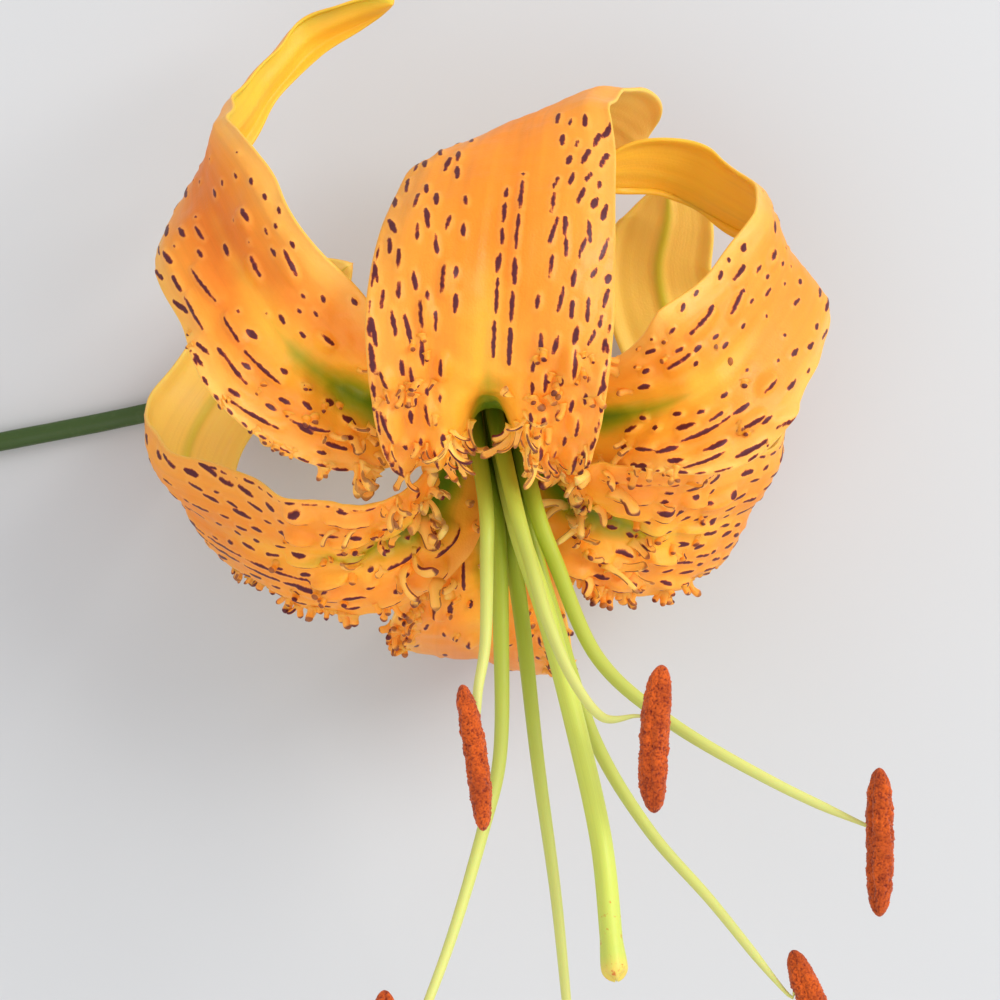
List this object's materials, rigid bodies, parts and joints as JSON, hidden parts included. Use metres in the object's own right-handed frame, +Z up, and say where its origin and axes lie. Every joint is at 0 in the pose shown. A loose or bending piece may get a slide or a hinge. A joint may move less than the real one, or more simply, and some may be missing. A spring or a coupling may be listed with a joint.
{
  "type": "cut lily flower",
  "caption": "Cut orange turk's-cap lily, one nodding flower with curled spotted tepals, long stamens and a bare stem.",
  "frame": {"origin": "middle of the bounding box on the ground the flower lies on", "axes": "+Z up from the ground; the cut stem runs out to -X; the stamens reach towards -Y and up"},
  "size_m": [0.138, 0.1164, 0.0582],
  "materials": {
    "tepal_inner": "satin",
    "tepal_outer": "satin",
    "filament": "satin",
    "anther": "matte",
    "pistil": "satin",
    "stem": "satin"
  },
  "bodies": {
    "root": {"tepal_inner_top": "tepal_inner", "tepal_inner_left": "tepal_inner", "tepal_inner_right": "tepal_inner", "tepal_outer_left": "tepal_outer", "tepal_outer_right": "tepal_outer", "tepal_outer_bottom": "tepal_outer", "filament_1": "filament", "filament_2": "filament", "filament_3": "filament", "filament_4": "filament", "filament_5": "filament", "filament_6": "filament", "anther_1": "anther", "anther_2": "anther", "anther_3": "anther", "anther_4": "anther", "anther_5": "anther", "anther_6": "anther", "pistil": "pistil", "stem": "stem"}
  },
  "joints": []
}
